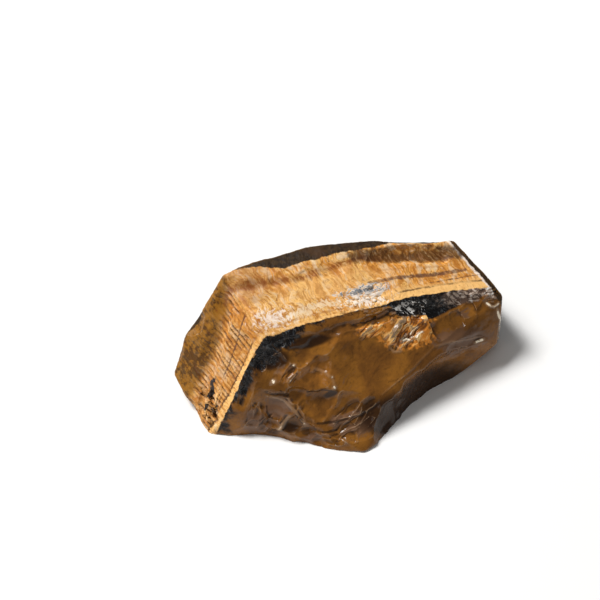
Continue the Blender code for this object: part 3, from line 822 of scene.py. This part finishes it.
def relief_tree():
    """Fibre grooves and ribs on the gold and grit on the dark layers, as real relief."""
    tree = bpy.data.node_groups.new("Broken surface relief", "GeometryNodeTree")
    face = tree.interface
    face.new_socket("Stone", in_out="INPUT", socket_type="NodeSocketGeometry")
    face.new_socket("Relief", in_out="OUTPUT", socket_type="NodeSocketGeometry")
    for name in RELIEF_INPUTS:
        face.new_socket(name, in_out="INPUT", socket_type="NodeSocketFloat")
    face.new_socket("Finish", in_out="INPUT", socket_type="NodeSocketMaterial")
    size = {s.name: s for s in tree.nodes.new("NodeGroupInput").outputs}
    place = add(tree, "GeometryNodeInputPosition")
    gold_edge, brown_edge, back_edge, comb, outer = (
        add(tree, "GeometryNodeInputNamedAttribute", {"Name": name}, data_type="FLOAT")
        for name in ("gold_edge", "brown_edge", "back_edge", "comb", "outer")
    )
    # shares of gold, brown, and the dark layers
    gold = fade(tree, gold_edge, 0.1, -0.2, 0, 1, fade(tree, back_edge, -0.2, 0.3))
    brown = fade(tree, brown_edge, -0.2, 0.3)
    dark = total_of(tree, (gold, -1.0), (brown, -1.0), (1.0, 1.0))

    wavy = waved(tree, place)
    fibres, _ = along_fibres(tree, wavy, 0.09)
    short, _ = along_fibres(tree, wavy, 0.25)
    _, across_ribs = along_fibres(tree, place, 0.09)
    per_fibre, per_grain, ribs = (
        add(tree, "ShaderNodeMath", (over, size[name]), operation="DIVIDE")
        for over, name in ((1.0, "Fibre width"), (1.0, "Grit size"), (across_ribs, "Rib spacing"))
    )
    streak, splinter, wander, broken_ribs, grit = (
        add(tree, "ShaderNodeTexNoise", dict(zip(NOISE_INPUTS, row)))
        for row in (
            (fibres, per_fibre, 2.0, 0.6),
            (short, 900.0, 2.0, 0.6),
            (fibres, 300.0, 1.0),
            (fibres, 520.0, 1.0),
            (short, per_grain, 3.0, 0.6),
        )
    )
    # fibre bundles
    calm = total_of(tree, (outer, -0.75), (1.0, 1.0))
    streak = uneven(tree, 0.0, streak, times(tree, calm, size["Fibre depth"]))
    # pits where splinters have come out
    pit = fade(tree, splinter, 0.60, 0.72, 0, 1, size["Pit depth"], calm)
    # ribs of the comb: grooves at a wandering spacing, some deep and some hardly there
    turns = total_of(tree, (wander, 1.5), (ribs, 1.0))
    turns = add(tree, "ShaderNodeMath", (turns, 0.5), operation="PINGPONG")
    some = fade(tree, broken_ribs, 0.36, 0.56, 0.25, 1.0)
    groove = fade(tree, turns, 0.26, 0.04, 0, 1, some, comb, total_of(tree, (outer, -0.8), (1.0, 1.0)))
    # grit of the dark layer and the skin, drawn out along the fibres
    depth = times(tree, size["Grit depth"], dark, fade(tree, back_edge, -1.0, 0.2, 0.5, 1.0))
    grit = uneven(tree, 0.0, grit, depth)

    fibrous = total_of(tree, (streak, 1.0), (times(tree, groove, size["Rib depth"]), -1.0), (pit, -1.0))
    rise = total_of(tree, (fibrous, gold), (grit, 1.0))
    normal = add(tree, "GeometryNodeInputNormal")
    shift = add(tree, "ShaderNodeVectorMath", {0: normal, 3: rise}, operation="SCALE")
    marked = {"Geometry": size["Stone"], "Name": "groove", "Value": groove}
    marked = add(tree, "GeometryNodeStoreNamedAttribute", marked, data_type="FLOAT", domain="POINT")
    moved = add(tree, "GeometryNodeSetPosition", {"Geometry": marked, "Offset": shift})
    real = add(tree, "GeometryNodeRealizeInstances", {"Geometry": moved})
    done = add(tree, "GeometryNodeSetMaterial", {"Geometry": real, "Material": size["Finish"]})
    add(tree, "NodeGroupOutput", (done,))
    return tree


def set_inputs(modifier, values):
    """Sets a Geometry Nodes modifier's inputs by name, through their identifiers."""
    for item in modifier.node_group.interface.items_tree:
        if item.item_type == "SOCKET" and item.in_out == "INPUT" and item.name in values:
            modifier[item.identifier] = values[item.name]


def flat_underside(mesh):
    """Cuts the stone flat at Z = 0 and closes the cut."""
    bm = bmesh.new()
    bm.from_mesh(mesh)
    whole = bm.verts[:] + bm.edges[:] + bm.faces[:]
    cut = bmesh.ops.bisect_plane(bm, geom=whole, plane_co=(0, 0, 0), plane_no=(0, 0, -1), clear_outer=True)
    for part in cut["geom_cut"]:
        if isinstance(part, bmesh.types.BMVert):
            part.co.z = 0.0
    rim = [g for g in cut["geom_cut"] if isinstance(g, bmesh.types.BMVert)]
    bmesh.ops.remove_doubles(bm, verts=rim, dist=0.05 * MM)
    closed = bmesh.ops.holes_fill(bm, edges=[e for e in bm.edges if e.is_boundary], sides=0)
    bmesh.ops.triangulate(bm, faces=closed["faces"])
    bmesh.ops.recalc_face_normals(bm, faces=bm.faces)
    for f in bm.faces:
        f.smooth = True
    bm.to_mesh(mesh)
    bm.free()


def stone_material(look, names):
    """Tiger's eye, broken and wetted: quartz grown through fibres, silky along them, glassy on the breaks."""
    mat = bpy.data.materials.new("tiger's eye, broken and wetted")
    mat.use_nodes = True
    tree = mat.node_tree
    tree.nodes.clear()
    named = {name: add(tree, "ShaderNodeAttribute", out=2, attribute_name=name) for name in names}
    place = add(tree, "ShaderNodeTexCoord", out=3)
    side = add(tree, "ShaderNodeSeparateXYZ", (place,))
    wavy = waved(tree, place)
    long, _ = along_fibres(tree, wavy, 0.09)
    short, _ = along_fibres(tree, wavy, 0.30)
    open_ends, _ = along_fibres(tree, wavy, 0.7)
    drawn, _ = along_fibres(tree, wavy, 0.22, STROKE, BESIDE)
    flat, _ = along_fibres(tree, wavy, 0.35, ALONG, RIB)
    # the layers of the gold, as stripes that follow its two edges
    run = add(tree, "ShaderNodeVectorMath", (place, tuple(ALONG * 22)), out=1, operation="DOT_PRODUCT")
    layers = add(tree, "ShaderNodeCombineXYZ", (times(tree, named["across"], 14.0), run))
    (
        streak, thread, silk, fleck, broad_fleck, stroke, cloud, fine, ragged, stripes, spots, flake, feather
    ) = (
        add(tree, "ShaderNodeTexNoise", dict(zip(NOISE_INPUTS, row)))
        for row in (
            (long, 1900.0, 4.0, 0.65),  # fibre bundles about 0.5 mm across, with finer ones inside them
            (long, 5200.0, 2.0, 0.6),  # single fibres, 0.2 mm
            (long, 260.0, 3.0, 0.6, 0.5),  # silky light and dark a few millimetres across, as the fibres bend
            (short, 1500.0, 3.0, 0.7),  # flecks about 2 mm long and 0.7 mm wide
            (short, 620.0, 2.0, 0.6),  # broad strokes about 5 mm long and 1.6 mm wide
            (drawn, 1500.0, 3.0, 0.65),  # splinters of the brown, about 0.7 mm across
            (place, 130.0, 3.0, 0.55, 0.5),  # clouds about 8 mm across
            (place, 1100.0, 4.0, 0.6),  # grain of about 1 mm and less
            (place, 800.0, 3.0, 0.6),  # unevenness of the layers' edges, about 1 mm from bay to bay
            (layers, 1.0, 3.0, 0.6),  # the gold's own layers, a little over 1 mm wide
            (open_ends, 1500.0, 4.0, 0.7, 0.6),  # flecks of painted highlights and of the slate patch, about 0.7 mm
            (flat, 1500.0, 2.0, 0.6, 0.8),  # flakes of the dark layer, about 2 mm long
            (short, 560.0, 3.0, 0.6),  # feathery edge between the dark layer and the brown
        )
    )

    # gold
    gold = laid(
        tree,
        look.gold,
        (look.gold_light, silk, 0.40, 0.60),
        (look.amber, streak, 0.53, 0.36, 0, 0.85),
        (look.cream, streak, 0.53, 0.68, 0, 0.80),
        (look.amber, thread, 0.54, 0.38, 0, 0.50),
        (look.amber, broad_fleck, 0.52, 0.64, 0, 0.65),
        (look.cream, broad_fleck, 0.47, 0.34, 0, 0.65),
        (look.amber, stripes, 0.50, 0.70, 0, 0.45),
        # painted shade towards the band's ends
        (look.dusk, uneven(tree, named["dusk"], silk, 0.8), 0.05, 0.75, 0, 0.8),
        (look.rim, streak, 0.38, 0.58, 0.60, 1.0, named["bright"]),
    )
    # the comb: its grooves hold painted shade and dirt, and its outer strip is browner and darkened with
    # painted shade
    mottle = total_of(tree, (cloud, 0.35), (fine, 0.35), (streak, 0.3))
    gold = laid(
        tree,
        gold,
        (look.amber, times(tree, named["comb"], 0.30)),
        (laid(tree, look.outer, (look.outer_light, mottle, 0.46, 0.55)), times(tree, named["outer"], 0.92)),
        (look.groove, times(tree, named["groove"], 0.95)),
        # painted highlight on the crests of the ragged splinters
        (look.rim, named["level"], 0.08, 0.34, 0, 0.55, named["comb"]),
    )
    # rim strip along the front edge, broad where X, in metres, is beside the comb or right of the slate patch
    # and narrow between them, with a dark line inside it
    edge = uneven(tree, named["gold_edge"], ragged, 0.5)
    broad = total_of(tree, (fade(tree, side, -0.0170, -0.0195), 1.0), (fade(tree, side, 0.0095, 0.0135), 1.0))
    inside = total_of(tree, (edge, 1.0), (broad, 0.75), (0.45, 1.0))
    off_line = total_of(tree, (inside, 1.0), (0.15, 1.0))
    off_line = add(tree, "ShaderNodeMath", (off_line,), operation="ABSOLUTE")
    gold = laid(
        tree,
        gold,
        (look.rim, inside, -0.25, 0.25, 0, 1, fade(tree, fleck, 0.40, 0.56, 0.10, 0.95)),
        (look.groove, off_line, 0.26, 0.06, 0, 0.8, broad, fade(tree, silk, 0.40, 0.55, 0.2, 1.0)),
        # painted highlight along the band's right end
        (look.glare, uneven(tree, named["end_edge"], ragged, 1.0), 0.65, 0.30, 0, 0.9),
    )
    # thin layers, each about as wide as its own half width; a red-brown line darkened as painted shade along
    # a slight crease of the band; painted shade under the rear lip; and dark splinter holes
    for tint, name, bays, low, high, most, within in (
        (look.seam, "seam", 2.2, 1.5, 0.5, 0.85, (fleck, 0.30, 0.55, 0.35)),
        (look.stain_and_shade, "stain_and_shade", 2.2, 1.9, 0.2, 0.75, (streak, 0.65, 0.40, 0.45)),
        (look.groove, "step", 1.6, 1.5, 0.5, 0.86, (streak, 0.70, 0.45, 0.7)),
    ):
        gap = uneven(tree, named[name], ragged, bays)
        gold = laid(tree, gold, (tint, gap, low, high, 0, most, fade(tree, *within)))
    gold = laid(tree, gold, (look.stain_and_shade, fleck, 0.58, 0.70, 0, 0.5))
    # painted highlights where the band catches the light: cream and white flecks, and silver glints round a
    # bare blue-grey slate patch
    for tint, name, most, low in (
        (look.cream, "cream", 0.85, 0.42),
        (look.silver, "silver", 0.85, 0.38),
        (look.slate, "silver", 0.95, 0.46),
        (look.glare, "glare", 0.80, 0.44),
    ):
        shown = total_of(tree, (spots, 1.0), (named["level"], 0.08), (named[name], 0.30), (-0.21, 1.0))
        gold = laid(tree, gold, (tint, shown, low, low + 0.12, 0, most, fade(tree, named[name], 0.02, 0.25)))
    # painted light on the gold: lighter on its convex edges as a painted highlight, darker in its concave
    # places as painted shade, and dirt and painted shadow along its slits and cracks
    dirt = fade(tree, uneven(tree, named["dirt"], ragged, 0.8), 0.35, 0.75, 0, 0.95)
    gold = laid(
        tree,
        gold,
        (look.cream, named["bend"], 0.25, 0.80, 0, 0.25),
        (look.groove, named["bend"], -0.20, -0.60, 0, 0.5),
        (look.dark_slit, dirt),
    )

    # brown: glassy quartz, ochre and olive in soft clouds
    warm = times(tree, named["ochre"], fade(tree, cloud, 0.30, 0.60, 0.4, 1.0))
    torn = uneven(tree, named["hackle"], fine, 1.6)
    rough_up = fade(tree, named["hackle"], 0.05, 0.5)
    level = uneven(tree, named["level"], stroke, 1.2)
    # painted reflection: a mauve-grey sheen on flatter facets and on the splinters' crests
    sheen = total_of(tree, (uneven(tree, named["sheen"], cloud, 1.0), 1.0), (level, 0.9))
    brown = laid(
        tree,
        look.brown,
        (look.ochre, cloud, 0.36, 0.66),
        (look.orange, warm, 0.05, 0.5, 0, 0.8),
        (look.deep_brown, fine, 0.55, 0.35, 0, 0.15),
        (look.deep_brown, stroke, 0.46, 0.34, 0, 0.3),
        (look.orange, stroke, 0.56, 0.70, 0, 0.3),
        (look.hackle, torn, 0.05, 0.40, 0, 0.92, fade(tree, named["hackle"], 0.0, 0.15)),
        # painted highlights on the splinters' crests, and painted shade with a dark red tint in the gaps
        # between them
        (look.hackle_light, level, 0.0, 0.28, 0, 1, rough_up),
        (look.cream, level, 0.40, 0.62, 0, 0.9, rough_up),
        (look.wine, level, -0.12, -0.40, 0, 0.6, rough_up),
        # painted reflection
        (look.mauve, sheen, 0.2, 0.5, 0, 0.8),
        # painted shade: darker in the hollows between splinters, over the shade patches, and over hollow
        # facets and the hollows under edges
        (look.deep_brown, named["level"], -0.12, -0.45, 0, 0.5, fade(tree, named["hackle"], 0.05, 0.5, 1, 0)),
        (look.deep_brown, times(tree, named["shade"], 0.60)),
        (look.deep_brown, uneven(tree, named["shadowed"], cloud, 0.6), 0.08, 0.5, 0, 0.93),
    )
    # its broken edges look pale, partly as thin clear edges and partly as a painted highlight on its convex
    # edges, with painted glints on the beads; painted shade darkens its creases, and dirt and painted shadow
    # lie along its cracks
    edges = fade(tree, named["bend"], 0.15, 0.60, 0, 1, fade(tree, cloud, 0.40, 0.60, 0.05, 0.45))
    beads = add(tree, "ShaderNodeMath", (named["pale"], 0.9), operation="MINIMUM")
    brown = laid(
        tree,
        brown,
        (look.pale_edge, add(tree, "ShaderNodeMath", (edges, beads), operation="MAXIMUM")),
        # painted glints: near-white on the palest beads
        (look.glint, named["pale"], 0.75, 1.10, 0, 0.95),
        # painted shade in the concave creases, and dirt and painted shadow along the cracks
        (look.crease, named["bend"], -0.08, -0.45, 0, 0.65, fade(tree, rough_up, 0.0, 1.0, 1.0, 0.5)),
        (look.crease, times(tree, dirt, 0.75)),
    )

    # dark layer: iron-black, streaked, with painted blue-grey and silver glints, and grey-brown at its right
    # end
    flakes = uneven(tree, named["level"], flake, 2.2)
    end = laid(
        tree, look.dusky, (look.grey, flakes, -0.12, 0.20), (look.silver, flakes, 0.30, 0.45, 0, 0.9)
    )
    dark = laid(
        tree,
        look.dark,
        (look.dark_brown, streak, 0.50, 0.68),
        (look.dark_glint, fleck, 0.54, 0.68, 0, 0.6),
        (look.silver, flake, 0.54, 0.60, 0, 1, fade(tree, named["silver"], 0.15, 0.50)),
        (end, uneven(tree, named["grey"], fine, 1.0), 0.1, 0.5),
    )
    # skin behind the band: weathered, dull olive-grey, with a painted highlight on its convex edges
    skin = laid(
        tree,
        look.skin,
        (look.skin_light, fine, 0.38, 0.66),
        (look.rust, cloud, 0.50, 0.66, 0, 0.7),
        (look.outer_light, named["bend"], 0.10, 0.50, 0, 0.4),
    )

    # fine relief that is too small for the mesh
    silky, glassy, gritty = (
        add(tree, "ShaderNodeBump", {"Strength": strength, "Distance": depth, "Height": height})
        for strength, depth, height in ((0.6, 0.0002, streak), (0.12, 0.0002, fine), (0.8, 0.0003, fleck))
    )
    # lay the layers over each other, with uneven edges
    far = uneven(tree, named["brown_edge"], feather, fade(tree, side, 0.0, 0.008, 3.6, 1.0))
    far = times(tree, far, fade(tree, side, 0.002, 0.012, 1.0, 2.4))
    finish, rough, normal = gold, 0.5, silky
    for mask, over, over_rough, over_normal in (
        (fade(tree, uneven(tree, named["gold_edge"], ragged, 0.7), -0.08, 0.08), dark, 0.22, gritty),
        (fade(tree, far, -0.55, 0.45), brown, 0.18, glassy),
        (fade(tree, uneven(tree, named["back_edge"], ragged, 1.0), 0.12, -0.12), skin, 0.6, gritty),
    ):
        finish = laid(tree, finish, (over, mask))
        rough = add(tree, "ShaderNodeMix", {0: mask, 2: rough, 3: over_rough}, data_type="FLOAT")
        normal = add(tree, "ShaderNodeMix", {0: mask, 4: normal, 5: over_normal}, out=1, data_type="VECTOR")
    # the IOR of quartz, and a faint wet gloss over it
    quartz = {"Base Color": finish, "Roughness": rough, "Normal": normal, "IOR": 1.54}
    gloss = {"Specular IOR Level": 0.22, "Coat Weight": 0.06, "Coat Roughness": 0.1, "Coat IOR": 1.33}
    add(tree, "ShaderNodeOutputMaterial", (add(tree, "ShaderNodeBsdfPrincipled", {**quartz, **gloss}),))
    return mat


# --------------------------------------------------------------------------------------------------
# What a user may change


def length(name, description, default):
    """A size in metres that a user may change."""
    return FloatProperty(name=name, description=description, default=default, unit="LENGTH", precision=5)


class StoneSizes(bpy.types.PropertyGroup):
    facet: FloatProperty(name="Facet", description="Side of a facet at the back, in mm", default=0.6, min=0.5)
    fibre_width: length("Fibre width", "Width of a bundle of fibres", 0.0006)
    fibre_depth: length("Fibre depth", "Depth of the grooves between bundles", 0.00030)
    pit_depth: length("Pit depth", "Depth of the pits left by splinters", 0.00012)
    rib_spacing: length("Rib spacing", "From one rib of the comb to the next", 0.0010)
    rib_depth: length("Rib depth", "Depth of the grooves between ribs", 0.00060)
    grit_size: length("Grit size", "Size of the dark layer's grit", 0.0013)
    grit_depth: length("Grit depth", "Height of the dark layer's grit", 0.0007)


RELIEF_INPUTS = {
    "Fibre width": "fibre_width",
    "Fibre depth": "fibre_depth",
    "Pit depth": "pit_depth",
    "Rib spacing": "rib_spacing",
    "Rib depth": "rib_depth",
    "Grit size": "grit_size",
    "Grit depth": "grit_depth",
}


def colour(name, description, code):
    """A colour that a user may change."""
    return FloatVectorProperty(
        name=name, description=description, subtype="COLOR", size=4, min=0, max=1, default=linear(code)
    )


class StoneLook(bpy.types.PropertyGroup):
    gold: colour("Gold", "Silky fibres", "#F0A64A")
    gold_light: colour("Light gold", "Silky fibres where they catch the light", "#FFC873")
    amber: colour("Amber", "Deeper fibres of the gold", "#B26C24")
    # painted shade at the band's ends
    dusk: colour("Dusk", "Darker gold at the band's ends", "#8C5116")
    # pale strip of the gold, also a painted highlight on the ragged splinters' crests
    rim: colour("Rim", "Pale strip along the gold's front edge", "#FFC87C")
    # browner gold, partly darkened as painted shade
    outer: colour("Outer strip", "Browner gold along the left edge", "#452A04")
    # lighter fibres, also a painted highlight on the skin's convex edges
    outer_light: colour("Outer strip light", "Its lighter fibres", "#92600F")
    # dirt and painted shade in the rib grooves, under the rear lip and in the gold's concave places
    groove: colour("Groove", "Dirt between the ribs", "#3C200B")
    seam: colour("Seam", "Thin purple-brown layers in the gold", "#5C3C30")
    # red-brown layers, also a line of painted shade along a crease of the band
    stain_and_shade: colour("Stain", "Red-brown layers in the gold", "#783A14")
    # open fibres, and painted highlights: cream flecks, splinter crests and convex edges
    cream: colour("Cream", "Open fibres", "#F6D9B0")
    # painted highlight: white glare at the band's corner and right end
    glare: colour("Pale flecks", "White flecks at the band's corner", "#FBEBDC")
    # painted glints in the dark layer and on the slate patch
    silver: colour("Silver", "Bright grains in the dark layer", "#E4E0DA")
    slate: colour("Slate", "Bare blue-grey patch in the gold", "#5C646C")
    grey: colour("Grey end", "Grey-brown end of the dark layer", "#B8A290")
    dark: colour("Dark layer", "Iron-black layer", "#0D0B0C")
    # painted glints on thin edges and beads
    glint: colour("Glints", "Thin clear edges of the brown that catch the light", "#FFF0D6")
    # dirt and painted shadow in the gold's slits
    dark_slit: colour("Dirt in the gold", "Blue-black dirt in the splits of the gold", "#22242A")
    dark_brown: colour("Dark brown", "Brown streaks in the dark layer", "#33261A")
    # painted glints in the dark layer
    dark_glint: colour("Dark glint", "Blue-grey grains in the dark layer", "#5A5F63")
    brown: colour("Brown", "Glassy brown", "#704619")
    ochre: colour("Olive", "Lighter clouds in the brown", "#8E5C1F")
    orange: colour("Ochre", "Orange-brown hollows", "#9A6222")
    # darker brown of the stone, also painted shade in hollows and shadowed facets
    deep_brown: colour("Deep brown", "Darker parts of the brown", "#281404")
    hackle: colour("Hackly patch", "Orange-brown splintered patch", "#CC7E2C")
    # painted highlights on the splinters' crests
    hackle_light: colour("Hackly crests", "Thin bright splinters in it", "#FFCB7E")
    # dark red tint and painted shade in the gaps
    wine: colour("Wine", "Dark red gaps between the splinters", "#43180C")
    dusky: colour("Dusky", "Dark gaps in the grey end of the dark layer", "#5A463A")
    rust: colour("Rust", "Iron-stained patches of the skin", "#4A2F14")
    # painted reflection: a mauve-grey sheen on the brown
    mauve: colour("Mauve", "Grey-brown film on the brown", "#6C503E")
    # thin clear edges, partly a painted highlight
    pale_edge: colour("Pale edge", "Thin broken edges of the brown", "#A88A6C")
    # painted shade in the brown's creases, and dirt and painted shadow along its cracks
    crease: colour("Crease", "Dirt in the creases of the brown", "#24140A")
    skin: colour("Skin", "Weathered skin behind the band", "#241505")
    skin_light: colour("Skin light", "Lighter grains of the skin", "#3E2A0E")


class StageSettings(bpy.types.PropertyGroup):
    floor: colour("Floor", "Pale floor", "#F4F3F1")
    key_power: FloatProperty(name="Key light", description="Large soft light, high at the left", default=17.6)
    fill_power: FloatProperty(name="Fill light", description="Small soft light, front left", default=0.18)
    sky: FloatProperty(name="Sky", description="Brightness of the white surroundings", default=0.22)
    elevation: FloatProperty(
        name="Camera elevation", description="Its height over the horizon", default=0.9076, subtype="ANGLE"
    )
    distance: FloatProperty(name="Camera distance", description="From the stone", default=0.75, unit="LENGTH")


# --------------------------------------------------------------------------------------------------
# One operator for each piece


class TIGERSEYE_OT_stone(bpy.types.Operator):
    """Makes the broken stone with all its relief, in place of the plain solid"""

    bl_idname = "tigerseye.stone"
    bl_label = "Stone"

    def execute(self, context):
        sizes = context.scene.tigerseye_sizes
        stone, ways, reach = block(sizes.facet)
        layers = broken(stone.data, ways, reach, sizes.facet)
        for name, values in layers.items():
            layer = stone.data.attributes.new(name, "FLOAT", "POINT")
            layer.data.foreach_set("value", values.astype(np.float32))
        relief = stone.modifiers.new("relief", "NODES")
        relief.node_group = relief_tree()
        finish = stone_material(context.scene.tigerseye_look, (*layers, "groove"))
        values = {name: getattr(sizes, key) for name, key in RELIEF_INPUTS.items()}
        set_inputs(relief, {**values, "Finish": finish})
        graph = bpy.context.evaluated_depsgraph_get()
        stone.data = bpy.data.meshes.new_from_object(stone.evaluated_get(graph))
        stone.modifiers.clear()
        flat_underside(stone.data)
        stone.name = stone.data.name = "tigers_eye"
        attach(stone, "root")
        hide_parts(NODE)
        return {"FINISHED"}


class TIGERSEYE_OT_stage(bpy.types.Operator):
    """Makes the pale floor, the soft lights and the camera"""

    bl_idname = "tigerseye.stage"
    bl_label = "Stage"

    def execute(self, context):
        stage = context.scene.tigerseye_stage
        scene = context.scene
        bm = bmesh.new()
        bmesh.ops.create_grid(bm, x_segments=1, y_segments=1, size=2.0)
        mesh = bpy.data.meshes.new("floor")
        bm.to_mesh(mesh)
        bm.free()
        floor = bpy.data.objects.new("floor", mesh)
        scene.collection.objects.link(floor)
        mat = bpy.data.materials.new("matt white board")
        mat.use_nodes = True
        shader = mat.node_tree.nodes["Principled BSDF"]
        shader.inputs["Base Color"].default_value = tuple(stage.floor)
        shader.inputs["Roughness"].default_value = 0.9
        mesh.materials.append(mat)

        world = bpy.data.worlds.new("white surroundings")
        world.use_nodes = True
        back = world.node_tree.nodes["Background"]
        back.inputs["Color"].default_value = (1, 1, 1, 1)
        back.inputs["Strength"].default_value = stage.sky
        scene.world = world

        aim = Vector((0.0, 0.0, 0.012))
        for name, place, size, power in (
            ("key", (-0.56, 0.24, 1.09), 0.42, stage.key_power),
            ("fill", (-0.34, -0.46, 0.40), 0.16, stage.fill_power),
        ):
            light = bpy.data.lights.new(name, "AREA")
            light.shape = "SQUARE"
            light.size = size
            light.energy = power
            lamp = bpy.data.objects.new(name, light)
            lamp.location = place
            lamp.rotation_euler = (aim - Vector(place)).to_track_quat("-Z", "Y").to_euler()
            scene.collection.objects.link(lamp)

        camera = bpy.data.cameras.new("camera")
        camera.lens = 200
        camera.clip_start, camera.clip_end = 0.01, 10
        rig = bpy.data.objects.new("camera", camera)
        scene.collection.objects.link(rig)
        target = Vector((-0.0089, 0.0090, 0.012))
        back_way = Vector((0, -np.cos(stage.elevation), np.sin(stage.elevation)))
        rig.location = target + back_way * stage.distance
        rig.rotation_euler = (-back_way).to_track_quat("-Z", "Y").to_euler()
        scene.camera = rig
        scene.view_settings.view_transform = "Standard"
        return {"FINISHED"}


class TIGERSEYE_PT_panel(bpy.types.Panel):
    """Lists the pieces and what can be changed on them"""

    bl_idname = "TIGERSEYE_PT_panel"
    bl_label = "Rough tiger's eye"
    bl_space_type = "VIEW_3D"
    bl_region_type = "UI"
    bl_category = "Tiger's eye"

    def draw(self, context):
        for title, name, operator in (
            ("Sizes", "tigerseye_sizes", None),
            ("Colours", "tigerseye_look", "tigerseye.stone"),
            ("Stage", "tigerseye_stage", "tigerseye.stage"),
        ):
            box = self.layout.box()
            box.label(text=title)
            settings = getattr(context.scene, name)
            for key in settings.__annotations__:
                box.prop(settings, key)
            if operator:
                box.operator(operator)


CLASSES = (StoneSizes, StoneLook, StageSettings, TIGERSEYE_OT_stone, TIGERSEYE_OT_stage, TIGERSEYE_PT_panel)


def register():
    for cls in CLASSES:
        bpy.utils.register_class(cls)
    bpy.types.Scene.tigerseye_sizes = PointerProperty(type=StoneSizes)
    bpy.types.Scene.tigerseye_look = PointerProperty(type=StoneLook)
    bpy.types.Scene.tigerseye_stage = PointerProperty(type=StageSettings)


def unregister():
    del bpy.types.Scene.tigerseye_stage
    del bpy.types.Scene.tigerseye_look
    del bpy.types.Scene.tigerseye_sizes
    for cls in reversed(CLASSES):
        bpy.utils.unregister_class(cls)


def main():
    register()
    bpy.ops.tigerseye.stone()
    bpy.ops.tigerseye.stage()


if __name__ == "__main__":
    main()
